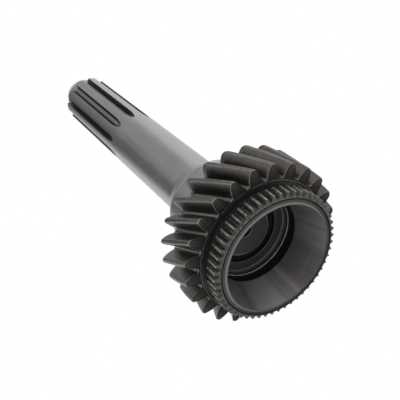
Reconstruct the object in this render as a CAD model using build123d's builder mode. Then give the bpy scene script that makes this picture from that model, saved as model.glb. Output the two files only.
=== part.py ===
from build123d import *
from math import acos, asin, atan, cos, degrees, pi, radians, sin, sqrt, tan
import os

# A gearbox pinion shaft, one forging turned and cut all over. It stands on the rim of its mouth, at
# z = 0, with its axis along Z. From the rim upwards it has a ring of dog teeth, a neck, a helical
# gear, a bearing seat, a plain shank, a clutch spline and a nose. All sizes are in millimetres.

os.makedirs("parts", exist_ok=True)

# Lengths along the axis, stacked from the rim upwards
lip_height = 0.6
dog_ring_length = 11.8
neck_length = 3.8
gear_width = 32.5
seat_length = 32.5
seat_taper_length = 18.1
shank_length = 102.9
spline_length = 110.7
nose_length = 17.0

# Shank and clutch spline: ten straight-sided teeth cut into the shank's own diameter
shaft_d = 44.45
spline_teeth = 10
spline_tooth_width = 6.95
spline_depth = 4.22
spline_end_chamfer = 3.0
runout_cutter_r = 50.0
runout_plunge = 1.9
runout_bluntness = 2.75
runout_sweep = 60.0

# Nose and its lathe centre
nose_taper_length = 9.0
nose_taper_height = 2.6
nose_centre_d = 5.0
nose_centre_depth = 11.0
nose_centre_mouth_d = 10.0
centre_angle = 60.0

# Seat of the gearbox input bearing, and the shoulder that the bearing stops against
seat_height = 10.275
shoulder_height = 4.5
shoulder_length = 1.5
seat_fillet = 1.0

# Helical gear, left hand
gear_teeth = 24
gear_module = 4.0
helix_angle = 25.0
pressure_angle = 22.5
addendum_factor = 0.97
dedendum_factor = 1.46
tooth_thinning = 0.2
tip_rounding_front = 1.0
tip_rounding_back = 2.2
edge_depth_front = 0.25
edge_depth_back = 0.7
edge_length_front = 0.4
edge_length_back = 2.6
cut_overrun = 3.0
gap_sections = 7
flank_points = 6
gear_phase = 3.8
gear_rim_height = 1.6
gear_recess_depth = 1.6

# Ring of dog teeth round the mouth, and the neck behind it
dog_teeth = 54
dog_tooth_height = 3.3
dog_crest_width = 1.0
dog_root_width = 3.7
dog_point_angle = 45.0
dog_crest_setback = 1.4
dog_back_setback = 1.3
dog_phase = 6.3
neck_depth = 2.0
neck_fillet = 1.2

# Mouth: friction cone, relief groove, pocket, ring groove, and a boss with its lathe centre
mouth_d = 73.8
ring_wall = 4.6
lip_width = 1.5
lip_chamfer = 0.3
cone_half_angle = 15.8
cone_length = 23.9
relief_width = 6.9
relief_depth = 2.0
pocket_d = 59.6
pocket_length = 4.5
pocket_corner_r = 4.2
ring_groove_width = 3.8
ring_groove_depth = 3.4
boss_d = 37.0
boss_drop = 1.1
boss_rounding = 1.6
boss_centre_d = 6.0
boss_centre_depth = 12.0
boss_centre_mouth_d = 8.4

# Heights worked out from the lengths
dog_front_z = lip_height
dog_back_z = dog_front_z + dog_ring_length
gear_front_z = dog_back_z + neck_length
gear_back_z = gear_front_z + gear_width
shoulder_z = gear_back_z + shoulder_length
seat_end_z = gear_back_z + seat_length
shank_start_z = seat_end_z + seat_taper_length
runout_z = shank_start_z + shank_length
spline_end_z = runout_z + spline_length
total_length = spline_end_z + nose_length
relief_z = cone_length
pocket_z = relief_z + relief_width
pocket_floor_z = pocket_z + pocket_length
groove_floor_z = pocket_floor_z + ring_groove_depth
boss_z = pocket_floor_z + boss_drop

# Radii worked out from the sizes above
shaft_r = shaft_d / 2
spline_root_r = shaft_r - spline_depth
nose_tip_r = spline_root_r - nose_taper_height
seat_r = shaft_r + seat_height
shoulder_r = seat_r + shoulder_height
mouth_r = mouth_d / 2
lip_r = mouth_r + lip_width
dog_root_r = mouth_r + ring_wall
dog_tip_r = dog_root_r + dog_tooth_height
neck_r = dog_root_r - neck_depth
cone_small_r = mouth_r - cone_length * tan(radians(cone_half_angle))
relief_r = cone_small_r + relief_depth
pocket_r = pocket_d / 2
boss_r = boss_d / 2
ring_groove_r = boss_r + ring_groove_width

# Gear geometry in the plane across the axis
transverse_module = gear_module / cos(radians(helix_angle))
gear_pitch_r = transverse_module * gear_teeth / 2
gear_tip_r = gear_pitch_r + addendum_factor * gear_module
gear_root_r = gear_pitch_r - dedendum_factor * gear_module
gear_recess_r = gear_root_r - gear_rim_height
transverse_pressure = atan(tan(radians(pressure_angle)) / cos(radians(helix_angle)))
gear_base_r = gear_pitch_r * cos(transverse_pressure)
twist_per_mm = degrees(tan(radians(helix_angle)) / gear_pitch_r)


def involute(pressure):
    """The involute function of a pressure angle in radians."""
    return tan(pressure) - pressure


def gap_half_angle(radius):
    """Half the angle of the gap between two gear teeth at a radius, in radians."""
    here = involute(acos(min(1.0, gear_base_r / radius)))
    at_pitch = pi / (2 * gear_teeth) + tooth_thinning / (2 * gear_pitch_r)
    return at_pitch + here - involute(transverse_pressure)


def tooth_gap(height, widened):
    """Draws the gap between two gear teeth, turned as the left-hand helix is at that height."""
    turn = radians(gear_phase - twist_per_mm * (height - gear_front_z))
    plane = Plane((0, 0, height), x_dir=(cos(turn), sin(turn), 0), z_dir=(0, 0, 1))
    outer_r = gear_tip_r + gear_module
    flank = []
    for k in range(flank_points):
        radius = gear_base_r + (outer_r - gear_base_r) * k / (flank_points - 1)
        half = gap_half_angle(radius) + widened / radius
        flank.append((radius * cos(half), radius * sin(half)))
    mirrored = [(x, -y) for x, y in flank]
    root = (gear_root_r - widened, 0)
    with BuildSketch(plane) as gap:
        with BuildLine():
            Spline(*flank)
            Line(flank[-1], mirrored[-1])
            Spline(*mirrored)
            Spline(mirrored[0], root, flank[0], tangents=[(-1, 0), (1, 0)])
        make_face()
    return gap.sketch


def corner(sketch, x, y):
    """The vertex of a sketch that lies nearest to a point of its own plane."""
    return sketch.vertices().sort_by_distance((x, y, 0))[0]


# One gap of the helical gear, opened out at both faces to take the sharp edges off the teeth
with BuildPart() as gap_cutter:
    cut_length = gear_width + 2 * cut_overrun
    cut_step = cut_length / (gap_sections - 1)
    cut_start_z = gear_front_z - cut_overrun
    loft([tooth_gap(cut_start_z + k * cut_step, 0) for k in range(gap_sections)])
    for face_z, inward, edge_depth in (
        (gear_front_z, edge_length_front, edge_depth_front),
        (gear_back_z, -edge_length_back, edge_depth_back),
    ):
        opened = tooth_gap(face_z - inward, 2 * edge_depth)
        plain = tooth_gap(face_z + inward, 0)
        loft([opened, plain], ruled=True)

# One groove of the clutch spline. A round cutter ends it, so that it runs out to a rounded point
plunge_depth = spline_depth + runout_plunge
tool_low_r = shaft_r - plunge_depth
tool_axis_r = tool_low_r + runout_cutter_r
runout_length = sqrt(2 * runout_cutter_r * plunge_depth - plunge_depth**2)
full_z = runout_z + runout_length
groove_outer_r = shaft_r + spline_depth


def groove_section(height):
    """Draws the space between two spline teeth, whose flanks are flat and parallel."""
    half_pitch = pi / spline_teeth
    half_root = half_pitch - asin(spline_tooth_width / 2 / spline_root_r)
    half_outer = half_pitch - asin(spline_tooth_width / 2 / groove_outer_r)
    root = (spline_root_r * cos(half_root), spline_root_r * sin(half_root))
    outer = (groove_outer_r * cos(half_outer), groove_outer_r * sin(half_outer))
    with BuildSketch(Plane.XY.offset(height)) as groove:
        with BuildLine():
            Line((outer[0], -outer[1]), outer)
            Line(outer, root)
            ThreePointArc(root, (spline_root_r, 0), (root[0], -root[1]))
            Line((root[0], -root[1]), (outer[0], -outer[1]))
        make_face()
    return groove.sketch


with BuildPart() as groove_cutter:
    extrude(groove_section(full_z), amount=-runout_length)
    with BuildSketch(Plane.XY.offset(full_z)):
        tool_depth = groove_outer_r - tool_low_r
        tool_half_width = sqrt(runout_bluntness * tool_depth)
        with BuildLine():
            Bezier(
                (groove_outer_r, -tool_half_width),
                (tool_low_r - tool_depth, 0),
                (groove_outer_r, tool_half_width),
            )
            Line((groove_outer_r, tool_half_width), (groove_outer_r, -tool_half_width))
        make_face()
    tool_axis = Axis((tool_axis_r, 0, full_z), (0, -1, 0))
    revolve(axis=tool_axis, revolution_arc=runout_sweep, mode=Mode.INTERSECT)
    extrude(groove_section(full_z), amount=total_length - full_z)

# One dog tooth: slanting flanks, a crest that stops short at the back, and a roof-shaped point
with BuildPart() as dog_tooth:
    foot_r = dog_root_r - dog_tooth_height / 3
    slope = (dog_root_width - dog_crest_width) / 2 / dog_tooth_height
    foot_half = dog_root_width / 2 + slope * (dog_root_r - foot_r)
    crest_half = dog_crest_width / 2
    with BuildSketch(Plane.XY.offset(dog_front_z)):
        with BuildLine():
            Polyline(
                (foot_r, -foot_half),
                (dog_tip_r, -crest_half),
                (dog_tip_r, crest_half),
                (foot_r, foot_half),
                close=True,
            )
        make_face()
    extrude(amount=dog_ring_length)
    with BuildSketch(Plane.XZ):
        with BuildLine():
            Polyline(
                (foot_r, dog_front_z),
                (dog_tip_r, dog_front_z),
                (dog_tip_r, dog_back_z - dog_back_setback),
                (dog_root_r, dog_back_z),
                (foot_r, dog_back_z),
                close=True,
            )
        make_face()
    extrude(amount=foot_half, both=True, mode=Mode.INTERSECT)
    lean = dog_crest_setback / dog_tooth_height
    point_z = dog_front_z - lean * (dog_root_r - foot_r)
    shoulder_rise = foot_half / tan(radians(dog_point_angle))
    with BuildSketch(Plane(origin=(foot_r, 0, 0), x_dir=(0, 1, 0), z_dir=(1, 0, 0))):
        with BuildLine():
            Polyline(
                (0, point_z),
                (foot_half, point_z + shoulder_rise),
                (foot_half, dog_back_z),
                (-foot_half, dog_back_z),
                (-foot_half, point_z + shoulder_rise),
                close=True,
            )
        make_face()
    reach = (dog_tip_r - foot_r) * sqrt(1 + lean**2)
    extrude(amount=reach, dir=(1, 0, lean), mode=Mode.INTERSECT)

# The turned body, with the mouth inside it and a lathe centre in both ends
with BuildPart() as pinion_shaft:
    centre_slope = tan(radians(centre_angle / 2))
    nose_cone = (nose_centre_mouth_d - nose_centre_d) / 2 / centre_slope
    boss_cone = (boss_centre_mouth_d - boss_centre_d) / 2 / centre_slope
    with BuildSketch(Plane.XZ) as section:
        with BuildLine():
            Polyline(
                (0, total_length - nose_centre_depth),
                (nose_centre_d / 2, total_length - nose_centre_depth),
                (nose_centre_d / 2, total_length - nose_cone),
                (nose_centre_mouth_d / 2, total_length),
                (nose_tip_r, total_length),
                (spline_root_r, total_length - nose_taper_length),
                (spline_root_r, spline_end_z + spline_end_chamfer),
                (shaft_r, spline_end_z),
                (shaft_r, shank_start_z),
                (seat_r, seat_end_z),
                (seat_r, shoulder_z),
                (shoulder_r, shoulder_z),
                (shoulder_r, gear_back_z),
                (gear_tip_r, gear_back_z),
                (gear_tip_r, gear_front_z),
                (gear_recess_r, gear_front_z),
                (gear_recess_r, gear_front_z + gear_recess_depth),
                (neck_r, gear_front_z + gear_recess_depth),
                (neck_r, dog_back_z),
                (dog_root_r, dog_back_z),
                (dog_root_r, dog_front_z),
                (lip_r, dog_front_z),
                (lip_r, lip_chamfer),
                (lip_r - lip_chamfer, 0),
                (mouth_r, 0),
                (cone_small_r, relief_z),
                (relief_r, relief_z),
                (relief_r, pocket_z),
                (pocket_r, pocket_z),
                (pocket_r, pocket_floor_z),
                (ring_groove_r, pocket_floor_z),
                (ring_groove_r, groove_floor_z),
                (boss_r, groove_floor_z),
                (boss_r, boss_z),
                (boss_centre_mouth_d / 2, boss_z),
                (boss_centre_d / 2, boss_z + boss_cone),
                (boss_centre_d / 2, boss_z + boss_centre_depth),
                (0, boss_z + boss_centre_depth),
                close=True,
            )
        make_face()
        fillet(corner(section, seat_r, shoulder_z), radius=seat_fillet)
        fillet(corner(section, gear_tip_r, gear_back_z), radius=tip_rounding_back)
        fillet(corner(section, gear_tip_r, gear_front_z), radius=tip_rounding_front)
        fillet(corner(section, neck_r, gear_front_z + gear_recess_depth), radius=neck_fillet)
        fillet(corner(section, neck_r, dog_back_z), radius=neck_fillet)
        fillet(corner(section, pocket_r, pocket_floor_z), radius=pocket_corner_r)
        fillet(corner(section, boss_r, boss_z), radius=boss_rounding)
    revolve(axis=Axis.Z)
    with PolarLocations(0, spline_teeth):
        add(groove_cutter.part, mode=Mode.SUBTRACT)
    with PolarLocations(0, gear_teeth):
        add(gap_cutter.part, mode=Mode.SUBTRACT)
    with PolarLocations(0, dog_teeth, start_angle=dog_phase):
        add(dog_tooth.part)

pinion_shaft.part.label = "pinion_shaft"
export_step(pinion_shaft.part, "parts/pinion_shaft.step")
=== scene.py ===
from math import acos, asin, atan, cos, pi, radians, sin, sqrt, tan

import bmesh
import bpy
from mathutils import Matrix, Vector


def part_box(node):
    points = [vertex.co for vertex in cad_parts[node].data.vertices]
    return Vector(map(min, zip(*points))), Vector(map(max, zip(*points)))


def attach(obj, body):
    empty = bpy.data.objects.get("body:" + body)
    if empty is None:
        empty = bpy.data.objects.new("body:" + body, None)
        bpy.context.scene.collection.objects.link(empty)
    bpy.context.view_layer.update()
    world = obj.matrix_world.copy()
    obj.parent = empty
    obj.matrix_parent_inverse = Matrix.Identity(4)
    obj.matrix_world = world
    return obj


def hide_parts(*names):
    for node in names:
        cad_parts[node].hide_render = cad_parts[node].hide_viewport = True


# A gearbox pinion shaft, dressed for the photograph. The shaft stands on the rim of its mouth, at
# z = 0. Everything is in metres. The sizes are those of the CAD part, apart from small forms: the
# slope of the lip, the groove in the ring's face, the points of the dog teeth, and the roundings and
# leaning front ends of the gear teeth.

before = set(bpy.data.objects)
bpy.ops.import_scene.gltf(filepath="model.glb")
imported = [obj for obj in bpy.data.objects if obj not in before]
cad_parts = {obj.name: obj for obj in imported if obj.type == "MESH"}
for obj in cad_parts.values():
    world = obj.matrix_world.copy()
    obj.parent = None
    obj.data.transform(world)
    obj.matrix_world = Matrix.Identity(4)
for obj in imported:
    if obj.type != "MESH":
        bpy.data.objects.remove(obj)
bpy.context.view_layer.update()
MM = 0.001

# Lengths along the axis, from the rim upwards
LIP_HEIGHT = 0.6 * MM
DOG_RING_LENGTH = 11.8 * MM
NECK_LENGTH = 3.8 * MM
GEAR_WIDTH = 32.5 * MM
SHOULDER_LENGTH = 1.5 * MM
SEAT_LENGTH = 32.5 * MM
SEAT_TAPER_LENGTH = 18.1 * MM
SHANK_LENGTH = 102.9 * MM
SPLINE_LENGTH = 110.7 * MM
TOTAL_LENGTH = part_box("pinion_shaft")[1].z

# Shank, clutch spline and nose
SHAFT_R = 22.225 * MM
SPLINE_TEETH = 10
SPLINE_TOOTH_WIDTH = 6.95 * MM
SPLINE_DEPTH = 4.22 * MM
SPLINE_END_CHAMFER = 3.0 * MM
RUNOUT_CUTTER_R = 50.0 * MM
RUNOUT_PLUNGE = 1.9 * MM
RUNOUT_BLUNTNESS = 2.75 * MM
NOSE_TAPER_LENGTH = 9.0 * MM
NOSE_TAPER_HEIGHT = 2.6 * MM
NOSE_ROUNDING = 0.5 * MM
NOSE_CENTRE_R = 2.5 * MM
NOSE_CENTRE_DEPTH = 11.0 * MM
NOSE_CENTRE_MOUTH_R = 5.0 * MM
CENTRE_HALF_ANGLE = radians(30.0)
CENTRE_FLOOR_ROUNDING = 0.3 * MM

# Bearing seat and the shoulder at the gear
SEAT_R = 32.5 * MM
SHOULDER_R = 37.0 * MM
SEAT_FOOT_ROUNDING = 1.0 * MM
SEAT_END_ROUNDING = 0.8 * MM
TAPER_END_ROUNDING = 2.0 * MM

# Helical gear
GEAR_TEETH = 24
GEAR_MODULE = 4.0 * MM
HELIX_ANGLE = radians(25.0)
PRESSURE_ANGLE = radians(22.5)
DEDENDUM_FACTOR = 1.46
TOOTH_THINNING = 0.2 * MM
TIP_ROUNDING_FRONT = 0.9 * MM
TIP_SETBACK_FRONT = 0.9 * MM
TIP_ROUNDING_BACK = 2.2 * MM
LAND_EDGE_ROUNDING = 0.95 * MM
EDGE_DEPTH_FRONT = 0.25 * MM
EDGE_DEPTH_BACK = 0.7 * MM
EDGE_LENGTH_FRONT = 0.4 * MM
EDGE_LENGTH_BACK = 2.6 * MM
GEAR_PHASE = radians(3.8)
GEAR_RIM_HEIGHT = 1.6 * MM
GEAR_RECESS_DEPTH = 1.6 * MM
GEAR_RECESS_ROUNDING = 0.5 * MM
GEAR_RECESS_LAND = 0.8 * MM

# Dog teeth and the neck behind them
DOG_TEETH = 54
DOG_TOOTH_HEIGHT = 3.3 * MM
DOG_CREST_WIDTH = 1.2 * MM
DOG_ROOT_WIDTH = 3.7 * MM
DOG_POINT_ANGLE = radians(57.0)
DOG_CREST_SETBACK = 1.4 * MM
DOG_BACK_SETBACK = 1.3 * MM
DOG_EDGE_BEVEL = 0.12 * MM
DOG_FACE_INSET = 0.3 * MM
DOG_BACK_INSET = 0.4 * MM
DOG_PHASE = radians(6.3)
NECK_DEPTH = 2.0 * MM
NECK_FILLET = 1.2 * MM

# Mouth
MOUTH_R = 36.9 * MM
RING_WALL = 4.6 * MM
RIM_ROUNDING = 0.12 * MM
LIP_WIDTH = 1.5 * MM
LIP_FLAT = 0.25 * MM
LIP_SLOPE_WIDTH = 0.8 * MM
LIP_SLOPE_HEIGHT = 0.45 * MM
LIP_SLOPE_ROUNDING = 0.3 * MM
FACE_GROOVE_R = 40.4 * MM
FACE_GROOVE_WIDTH = 1.0 * MM
FACE_GROOVE_DEPTH = 0.4 * MM
FACE_ROUNDING = 0.1 * MM
CONE_HALF_ANGLE = radians(15.8)
CONE_LENGTH = 23.9 * MM
RELIEF_WIDTH = 6.9 * MM
RELIEF_DEPTH = 2.0 * MM
RELIEF_ROUNDING = 0.4 * MM
POCKET_R = 29.8 * MM
POCKET_LENGTH = 4.5 * MM
POCKET_CORNER_R = 4.2 * MM
RING_GROOVE_WIDTH = 3.8 * MM
RING_GROOVE_DEPTH = 3.4 * MM
RING_GROOVE_ROUNDING = 0.6 * MM
BOSS_R = 18.5 * MM
BOSS_DROP = 1.1 * MM
BOSS_ROUNDING = 1.6 * MM
BOSS_CENTRE_R = 3.0 * MM
BOSS_CENTRE_DEPTH = 12.0 * MM
BOSS_CENTRE_MOUTH_R = 4.2 * MM

# Edges are broken by this much where no other rounding is given
EDGE_BREAK = 0.25 * MM

# Heights and radii worked out from the sizes above
DOG_FRONT_Z = LIP_HEIGHT
DOG_BACK_Z = DOG_FRONT_Z + DOG_RING_LENGTH
GEAR_FRONT_Z = DOG_BACK_Z + NECK_LENGTH
GEAR_BACK_Z = GEAR_FRONT_Z + GEAR_WIDTH
GEAR_RECESS_Z = GEAR_FRONT_Z + GEAR_RECESS_DEPTH
SHOULDER_Z = GEAR_BACK_Z + SHOULDER_LENGTH
SEAT_END_Z = GEAR_BACK_Z + SEAT_LENGTH
SHANK_START_Z = SEAT_END_Z + SEAT_TAPER_LENGTH
RUNOUT_Z = SHANK_START_Z + SHANK_LENGTH
SPLINE_END_Z = RUNOUT_Z + SPLINE_LENGTH
RELIEF_Z = CONE_LENGTH
POCKET_Z = RELIEF_Z + RELIEF_WIDTH
POCKET_FLOOR_Z = POCKET_Z + POCKET_LENGTH
RING_GROOVE_Z = POCKET_FLOOR_Z + RING_GROOVE_DEPTH
BOSS_Z = POCKET_FLOOR_Z + BOSS_DROP
SPLINE_ROOT_R = SHAFT_R - SPLINE_DEPTH
NOSE_TIP_R = SPLINE_ROOT_R - NOSE_TAPER_HEIGHT
LIP_R = MOUTH_R + LIP_WIDTH
DOG_ROOT_R = MOUTH_R + RING_WALL
DOG_TIP_R = DOG_ROOT_R + DOG_TOOTH_HEIGHT
NECK_R = DOG_ROOT_R - NECK_DEPTH
CONE_SMALL_R = MOUTH_R - CONE_LENGTH * tan(CONE_HALF_ANGLE)
RELIEF_R = CONE_SMALL_R + RELIEF_DEPTH
RING_GROOVE_R = BOSS_R + RING_GROOVE_WIDTH
GEAR_PITCH_R = GEAR_MODULE / cos(HELIX_ANGLE) * GEAR_TEETH / 2
GEAR_TIP_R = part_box("pinion_shaft")[1].x
GEAR_ROOT_R = GEAR_PITCH_R - DEDENDUM_FACTOR * GEAR_MODULE
GEAR_RECESS_R = GEAR_ROOT_R - GEAR_RIM_HEIGHT
TRANSVERSE_PRESSURE = atan(tan(PRESSURE_ANGLE) / cos(HELIX_ANGLE))
GEAR_BASE_R = GEAR_PITCH_R * cos(TRANSVERSE_PRESSURE)
TWIST = tan(HELIX_ANGLE) / GEAR_PITCH_R

# Clutch spline cutter, which is round and so runs out of the shank in a rounded point
PLUNGE_DEPTH = SPLINE_DEPTH + RUNOUT_PLUNGE
TOOL_AXIS_R = SHAFT_R - PLUNGE_DEPTH + RUNOUT_CUTTER_R
RUNOUT_LENGTH = sqrt(2 * RUNOUT_CUTTER_R * PLUNGE_DEPTH - PLUNGE_DEPTH**2)
FULL_Z = RUNOUT_Z + RUNOUT_LENGTH

# Hidden ends of the three pieces, inside the metal of their neighbours
GEAR_BORE_R = 36.0 * MM
CORE_R = SEAT_R - NECK_LENGTH
SHAFT_FOOT_Z = 46.0 * MM
SHAFT_CORE_Z = 55.0 * MM
MOUTH_CORE_Z = 52.0 * MM
HIDDEN_STEP = 0.02 * MM

# How finely the outlines are divided. The gear's end sections are shares of its tip roundings
ARC_STEPS = 6
FLANK_STEPS = 9
ROOT_STEPS = 6
CORNER_STEPS = 4
GEAR_LAND_STEPS = 2
GEAR_BODY_STEPS = 18
GEAR_BODY_FRONT = 1.4 * MM
GEAR_BODY_BACK = 3.2 * MM
FRONT_SECTIONS = (0.0, 0.1, 0.22, 0.4, 0.6, 0.8, 1.0)
BACK_SECTIONS = (1.18, 1.0, 0.8, 0.6, 0.4, 0.22, 0.08, 0.0)
FLOOR_STEPS = 8
WALL_STEPS = 3
LAND_STEPS = 5
SHANK_REST = 3.0 * MM
RUNOUT_STEPS = 26
RUNOUT_CROWDING = 1.6
SPLINE_STEPS = 6
HALVINGS = 40

# A corner is rounded over this share of its arms at most. The rest beside it is the shorter of a
# share of that rounding's reach and a share of the arm
MOST_OF_ARM = 0.45
REST_OF_REACH = 0.5
REST_OF_ARM = 0.04

# Welding and shading
MERGE_DISTANCE = 0.002 * MM
SHARP_ANGLE = radians(24.0)
BEVEL_ANGLE = radians(30.0)
BEVEL_SEGMENTS = 2


# Geometry helpers


def steps(start, end, count):
    """Evenly spaced values from start to end, both included."""
    return [start + (end - start) * k / count for k in range(count + 1)]


def on_circle(r, angle):
    """A point at an angle on a circle round the axis."""
    return (r * cos(angle), r * sin(angle))


def angle_of(point):
    """The angle of a point round the axis."""
    return Vector(point).angle_signed(Vector((1, 0)))


def turned(x, y, z, angle):
    """A point turned about the shaft's axis."""
    return (x * cos(angle) - y * sin(angle), x * sin(angle) + y * cos(angle), z)


def corner_curve(start, corner, end, count):
    """Points of a curve that cuts a corner between two points."""
    first, middle, last = Vector(start), Vector(corner), Vector(end)
    shares = steps(0.0, 1.0, count)
    return [tuple(first * (1 - t) ** 2 + middle * 2 * t * (1 - t) + last * t**2) for t in shares]


def rest_beside(point, arm, reach):
    """A point a little way along an arm of a rounded corner, which keeps the arm straight."""
    return tuple(point + arm.normalized() * min(REST_OF_REACH * reach, REST_OF_ARM * arm.length))


def rounded(outline):
    """Rounds the corners of a lathe outline of (radius, height, rounding), with a rest on each side."""
    points = []
    last = len(outline) - 1
    for k, (r, z, rounding) in enumerate(outline):
        if k in (0, last) or rounding == 0:
            points.append((r, z))
            continue
        here = Vector((r, z))
        before = Vector(outline[k - 1][:2]) - here
        after = Vector(outline[k + 1][:2]) - here
        turn = pi - before.angle(after)
        arms = (before.length, after.length)
        reach = min(rounding * tan(turn / 2), *(MOST_OF_ARM * arm for arm in arms))
        start = here + before.normalized() * reach
        end = here + after.normalized() * reach
        points.append(rest_beside(start, before, reach))
        points += corner_curve(start, here, end, ARC_STEPS)
        points.append(rest_beside(end, after, reach))
    return points


def placed(name, data):
    """A new object of the scene, at the origin."""
    made = bpy.data.objects.new(name, data)
    bpy.context.scene.collection.objects.link(made)
    return made


def cell_faces(cell, fold):
    """The faces of one cell of a sheet: the cell itself, or its halves where it is folded."""
    a, b, c, d = cell
    if fold == "left":
        return [(a, b, d), (b, c, d)]
    if fold == "right":
        return [(a, b, c), (a, c, d)]
    return [cell]


def sheet_of(name, rows, closed=False, folds=None):
    """Joins rows of points into a sheet. Folds say which cells are cut, and along which diagonal."""
    width = len(rows[0])
    row_count = len(rows)
    faces = []
    for i in range(row_count if closed else row_count - 1):
        below = i * width
        above = (i + 1) % row_count * width
        for j in range(width - 1):
            cell = (below + j, below + j + 1, above + j + 1, above + j)
            faces += cell_faces(cell, (folds or {}).get((i, j)))
    mesh = bpy.data.meshes.new(name)
    mesh.from_pydata([point for row in rows for point in row], [], faces)
    return placed(name, mesh)


# Node trees. A Wire is a socket that sums can be written with, and a Tree makes its nodes


class Wire:
    """A socket of a node tree, on which arithmetic adds Math nodes."""

    def __init__(self, tree, socket):
        self.tree = tree
        self.socket = socket

    def __add__(self, other):
        return self.tree.math("ADD", self, other)

    def __sub__(self, other):
        return self.tree.math("SUBTRACT", self, other)

    def __mul__(self, other):
        return self.tree.math("MULTIPLY", self, other)

    def __truediv__(self, other):
        return self.tree.math("DIVIDE", self, other)

    def __rsub__(self, other):
        return self.tree.math("SUBTRACT", other, self)

    def __rtruediv__(self, other):
        return self.tree.math("DIVIDE", other, self)

    __radd__ = __add__
    __rmul__ = __mul__


class Tree:
    """A node tree, with one method that makes every kind of node."""

    def __init__(self, tree):
        self.tree = tree
        self.tree.nodes.clear()

    def node(self, kind, settings=None, sockets=None, output=0):
        """Makes a node, sets its settings and then its sockets, and gives one of its outputs."""
        made = self.tree.nodes.new(kind)
        for name, value in (settings or {}).items():
            setattr(made, name, value)
        for name, value in (sockets or {}).items():
            if isinstance(value, Wire):
                self.tree.links.new(value.socket, made.inputs[name])
            else:
                made.inputs[name].default_value = value
        return Wire(self, made.outputs[output]) if made.outputs else None

    def math(self, operation, *values):
        """A Math node on values or wires."""
        return self.node("ShaderNodeMath", {"operation": operation}, dict(enumerate(values)))

    def ramp(self, value, low, high):
        """0 below low and 1 above high, with a soft step between them."""
        ends = {"Value": value, "From Min": low, "From Max": high}
        return self.node("ShaderNodeMapRange", {"interpolation_type": "SMOOTHSTEP"}, ends)


# Pieces. Each is one sector, which Geometry Nodes repeat round the axis

RING_INPUTS = {
    "Geometry": "NodeSocketGeometry",
    "Sectors": "NodeSocketInt",
    "Weld distance": "NodeSocketFloat",
    "Finish": "NodeSocketMaterial",
}


def ring_tree():
    """Geometry Nodes that set copies of one sector round the axis and weld them into a ring."""
    group = bpy.data.node_groups.new("ring of sectors", "GeometryNodeTree")
    for name, kind in RING_INPUTS.items():
        group.interface.new_socket(name=name, in_out="INPUT", socket_type=kind)
    group.interface.new_socket(name="Geometry", in_out="OUTPUT", socket_type="NodeSocketGeometry")
    tree = Tree(group)
    sector, count, weld, finish = (
        tree.node("NodeGroupInput", output=name) for name in RING_INPUTS
    )
    index = tree.node("GeometryNodeInputIndex")
    turn = tree.node("ShaderNodeCombineXYZ", {}, {"Z": index * (2 * pi) / count})
    places = tree.node("GeometryNodePoints", {}, {"Count": count})
    ring = tree.node(
        "GeometryNodeInstanceOnPoints", {}, {"Points": places, "Instance": sector, "Rotation": turn}
    )
    real = tree.node("GeometryNodeRealizeInstances", {}, {"Geometry": ring})
    welded = tree.node("GeometryNodeMergeByDistance", {}, {"Geometry": real, "Distance": weld})
    dressed = tree.node("GeometryNodeSetMaterial", {}, {"Geometry": welded, "Material": finish})
    tree.node("NodeGroupOutput", {}, {"Geometry": dressed})
    return group


RING_TREE = ring_tree()


def ring_of(name, sector, count, finish, bevel=0.0):
    """Repeats a sector into a closed ring, and puts it in the place of the CAD part."""
    ring = sector.modifiers.new("ring", "NODES")
    ring.node_group = RING_TREE
    values = {"Sectors": count, "Weld distance": MERGE_DISTANCE, "Finish": finish}
    for item in RING_TREE.interface.items_tree:
        if item.in_out == "INPUT" and item.name in values:
            ring[item.identifier] = values[item.name]
    if bevel:
        edges = sector.modifiers.new("edges", "BEVEL")
        edges.width = bevel
        edges.segments = BEVEL_SEGMENTS
        edges.limit_method = "ANGLE"
        edges.angle_limit = BEVEL_ANGLE
    seen = sector.evaluated_get(bpy.context.evaluated_depsgraph_get())
    mesh = bpy.data.meshes.new_from_object(seen)
    bpy.data.objects.remove(sector)
    mesh.name = name
    outward(mesh)
    piece = placed(name, mesh)
    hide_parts("pinion_shaft")
    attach(piece, "root")
    return piece


def outward(mesh):
    """Points the faces of a closed mesh outwards and shades it smooth between its edges."""
    solid = bmesh.new()
    solid.from_mesh(mesh)
    bmesh.ops.dissolve_degenerate(solid, dist=MERGE_DISTANCE, edges=solid.edges)
    bmesh.ops.recalc_face_normals(solid, faces=solid.faces)
    solid.to_mesh(mesh)
    solid.free()
    mesh.shade_smooth()
    mesh.set_sharp_from_angle(angle=SHARP_ANGLE)


# Helical gear


def involute(pressure):
    """The involute function of a pressure angle."""
    return tan(pressure) - pressure


def gap_half_angle(radius):
    """Half the angle of the gap between two gear teeth at a radius."""
    here = involute(acos(min(1.0, GEAR_BASE_R / radius)))
    at_pitch = pi / (2 * GEAR_TEETH) + TOOTH_THINNING / (2 * GEAR_PITCH_R)
    return at_pitch + here - involute(TRANSVERSE_PRESSURE)


def gear_turn(z):
    """How far the left-hand helix has turned the gap of the first sector at a height."""
    return GEAR_PHASE - TWIST * (z - GEAR_FRONT_Z)


def tip_radius(z):
    """Radius of the gear's tips, which are rounded over towards both faces."""
    for distance, rounding in (
        (z - GEAR_FRONT_Z, TIP_ROUNDING_FRONT),
        (GEAR_BACK_Z - z, TIP_ROUNDING_BACK),
    ):
        if distance < rounding:
            return GEAR_TIP_R - rounding + sqrt(rounding**2 - (rounding - distance) ** 2)
    return GEAR_TIP_R


def tooth_point(x, y, z):
    """A point of a tooth, set back where the teeth slope away from the front face, and turned."""
    share = (Vector((x, y)).length - GEAR_ROOT_R) / (GEAR_TIP_R - GEAR_ROOT_R)
    z += TIP_SETBACK_FRONT * max(0.0, share) * (GEAR_BACK_Z - z) / GEAR_WIDTH
    return turned(x, y, z, gear_turn(z))


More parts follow.
